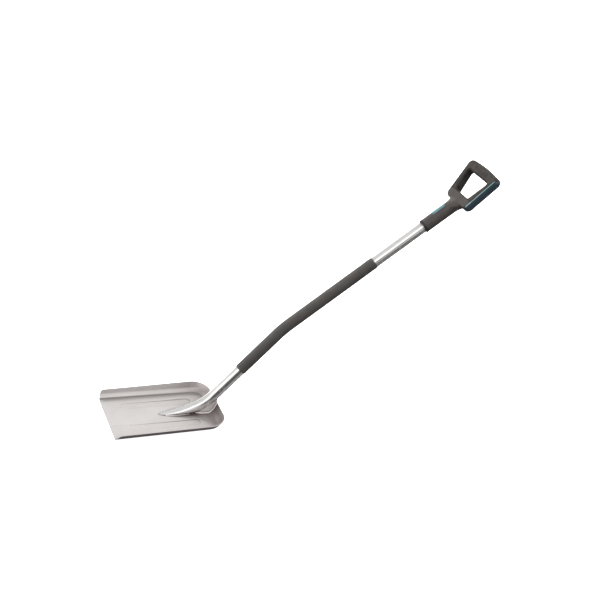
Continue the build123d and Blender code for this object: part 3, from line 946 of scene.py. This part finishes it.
# ---------- collar ring, badge and screw ----------
# A separate ring closes the collar's end. A blank plastic badge is let into the collar's upper side,
# and a steel screw goes through its underside into the tube.
ring_proud = 0.5 * mm
ring_edge = 0.8 * mm
station = (collar_start, upper_rise)
end_ring = start_ring("end_ring", collar_radius + ring_proud, station)
past = station
station = (collar_start + ring_length * heading(upper_rise), upper_rise)
lead_on(past, station)
bpy.ops.mesh.select_all(action="SELECT")
bpy.ops.mesh.normals_make_consistent(inside=False)
bpy.ops.object.mode_set(mode="OBJECT")
use_modifier(end_ring, "SOLIDIFY", thickness=collar_wall + ring_proud, offset=-1, use_even_offset=True)
break_edges(end_ring, ring_edge, 4)
finish_piece(end_ring, "ring_plastic", "collar_end_ring")
ring_plastic, nodes, links, shader = new_finish("ring_plastic", (0.018, 0.018, 0.018), 0.0, 0.5)
scuff = stretched_noise(nodes, links, (1, 1, 1), 500.0, 4.0)
links.new(map_range(nodes, links, scuff, 0.3, 0.7, 0.4, 0.62), shader.inputs["Roughness"])
add_bump(nodes, links, shader, scuff, strength=0.2, distance=0.15 * mm)
end_ring.data.materials.append(ring_plastic)

badge_length = 46.0 * mm
badge_width = 15.0 * mm
badge_height = 0.6 * mm
badge_sink = 4.0 * mm
badge_blank = 6.0 * mm
badge_along = 64.0 * mm
badge_turn = radians(-9)
badge = new_piece("collar_badge")
stadium(badge_length, badge_width)
bpy.ops.mesh.select_all(action="SELECT")
bpy.ops.mesh.extrude_region_move(TRANSFORM_OT_translate={"value": (0, 0, badge_blank)})
bpy.ops.mesh.select_all(action="SELECT")
bpy.ops.mesh.normals_make_consistent(inside=False)
bpy.ops.object.mode_set(mode="OBJECT")
badge_place = collar_start + badge_along * heading(upper_rise)
badge_place -= (collar_radius - badge_sink) * under(upper_rise)
aside = Matrix.Rotation(badge_turn, 4, heading(upper_rise))
aside = Matrix.Translation(collar_start) @ aside @ Matrix.Translation(-collar_start)
badge.matrix_world = aside @ Matrix.Translation(badge_place) @ Matrix.Rotation(-upper_rise, 4, "Y")
bpy.ops.object.transform_apply()
station = (collar_start, upper_rise)
drum = start_ring("badge_drum", collar_radius + badge_height, station, "NGON", corners=160)
lead_on(station, (collar_top, upper_rise))
bpy.ops.mesh.select_all(action="SELECT")
bpy.ops.mesh.normals_make_consistent(inside=False)
bpy.ops.object.mode_set(mode="OBJECT")
use_modifier(badge, "BOOLEAN", operation="INTERSECT", object=drum)
bpy.data.objects.remove(drum)
finish_piece(badge, "badge_plastic", "collar_badge")
badge_plastic, nodes, links, shader = new_finish("badge_plastic", (0.09, 0.21, 0.25), 0.0, 0.4)
haze = stretched_noise(nodes, links, (1, 1, 1), 80.0, 4.0)
haze_share = map_range(nodes, links, haze, 0.4, 0.6, 0, 1)
tone = mix_colours(nodes, links, haze_share, (0.09, 0.17, 0.20), (0.11, 0.21, 0.24))
links.new(tone, shader.inputs["Base Color"])
badge.data.materials.clear()
badge.data.materials.append(badge_plastic)

screw_from_end = 28.0 * mm
screw_head = 4.0 * mm
screw_height = 2.2 * mm
screw_sink = 1.0 * mm
screw_edge = 0.9 * mm
slit_size = (4.6 * mm, 0.9 * mm, 2.0 * mm)
down = under(upper_rise)
screw_place = tube_end - screw_from_end * heading(upper_rise) + (collar_radius - screw_sink) * down
bpy.ops.object.select_all(action="DESELECT")
bpy.ops.mesh.primitive_cylinder_add(vertices=48, radius=screw_head, depth=screw_height + screw_sink)
screw = bpy.context.object
screw.name = "handle_screw"
screw.data.name = "handle_screw"
break_edges(screw, screw_edge, 4)
for turn in (0, pi / 2):
    bpy.ops.object.select_all(action="DESELECT")
    top = (0, 0, (screw_height + screw_sink) / 2)
    bpy.ops.mesh.primitive_cube_add(size=1, location=top, rotation=(0, 0, turn))
    slit = bpy.context.object
    slit.scale = slit_size
    use_modifier(screw, "BOOLEAN", operation="DIFFERENCE", object=slit)
    bpy.data.objects.remove(slit)
bpy.ops.object.select_all(action="DESELECT")
screw.select_set(True)
bpy.context.view_layer.objects.active = screw
screw_turn = down.to_track_quat("Z", "Y").to_matrix().to_4x4()
screw.matrix_world = Matrix.Translation(screw_place + down * (screw_height + screw_sink) / 2) @ screw_turn
bpy.ops.object.transform_apply()
finish_piece(screw, "screw_steel", "handle_screw")
screw_steel, nodes, links, shader = new_finish("screw_steel", (0.56, 0.56, 0.57), 1.0, 0.3)
turning = stretched_noise(nodes, links, (1, 1, 1), 2500.0, 3.0)
links.new(map_range(nodes, links, turning, 0.3, 0.7, 0.22, 0.42), shader.inputs["Roughness"])
screw.data.materials.clear()
screw.data.materials.append(screw_steel)

# ---------- floor and lights ----------
# A white paper floor inside a white dome. Neither shows in the metal, which mirrors a soft sky: dark
# under a tilted horizon, brightest above it, with one broad panel. The key is high and behind.
floor_size = 80
dome_radius = 30


def stage_piece(name, colour, glow):
    """Make the new object part of the studio: plain, glowing, and unseen in any reflection."""
    piece = bpy.context.object
    piece.name = name
    piece.visible_glossy = False
    piece.visible_diffuse = False
    finish, nodes, links, shader = new_finish(f"{name}_paper", (colour, colour, colour), 0.0, 0.5)
    shader.inputs["Specular IOR Level"].default_value = 0.0
    shader.inputs["Emission Color"].default_value = (1, 1, 1, 1)
    shader.inputs["Emission Strength"].default_value = glow
    piece.data.materials.append(finish)
    return piece


bpy.ops.object.select_all(action="DESELECT")
bpy.ops.mesh.primitive_plane_add(size=floor_size)
stage_piece("studio_floor", colour=0.98, glow=0.9)
bpy.ops.object.select_all(action="DESELECT")
bpy.ops.mesh.primitive_uv_sphere_add(segments=48, ring_count=24, radius=dome_radius)
dome = stage_piece("studio_dome", colour=0.0, glow=1.2)
dome.visible_shadow = False

# the sky's light by height along its own axis, from 0 below to 1 above
sky_axis = Vector((-0.2, 0.5, 0.85))
sky_heights = (
    (0.0, 0.45), (0.06, 0.35), (0.11, 0.08), (0.44, 0.07),
    (0.51, 0.5), (0.63, 1.85), (0.73, 1.8), (0.83, 0.76),
)
panel_axis = Vector((0.37, -0.85, 0.42))
panel_edge = 0.85
panel_core = 0.94
panel_light = 0.95
world = bpy.data.worlds.new("studio")
bpy.context.scene.world = world
world.use_nodes = True
sky_nodes = world.node_tree.nodes
sky_links = world.node_tree.links
sky_place = sky_nodes.new("ShaderNodeTexCoord")


def along_axis(axis):
    """How far the sky's direction leans along an axis, from -1 to 1."""
    lean = sky_nodes.new("ShaderNodeVectorMath")
    lean.operation = "DOT_PRODUCT"
    lean.inputs[1].default_value = axis.normalized()
    sky_links.new(sky_place.outputs["Generated"], lean.inputs[0])
    return lean.outputs["Value"]


sky_share = map_range(sky_nodes, sky_links, along_axis(sky_axis), -1, 1, 0, 1)
sky_ramp = sky_nodes.new("ShaderNodeValToRGB")
stops = sky_ramp.color_ramp.elements
for index, (height, light) in enumerate(sky_heights):
    stop = stops[index] if index < 2 else stops.new(height)
    stop.position = height
    stop.color = (light, light, light, 1)
sky_links.new(sky_share, sky_ramp.inputs[0])
panel_share = map_range(sky_nodes, sky_links, along_axis(panel_axis), panel_edge, panel_core, 0, 1)
panel_colour = (panel_light, panel_light, panel_light)
sky_light = mix_colours(sky_nodes, sky_links, panel_share, sky_ramp.outputs["Color"], panel_colour)
sky_links.new(sky_light, sky_nodes["Background"].inputs["Color"])
bpy.context.scene.view_settings.view_transform = "Standard"

key_from = Vector((-0.05, 1.25, 1.0))
bpy.ops.object.light_add(type="SUN", location=2 * key_from)
key = bpy.context.object
key.visible_glossy = False
key.data.energy = 4.4
key.data.angle = radians(14)
key.rotation_euler = key_from.to_track_quat("Z", "Y").to_euler()
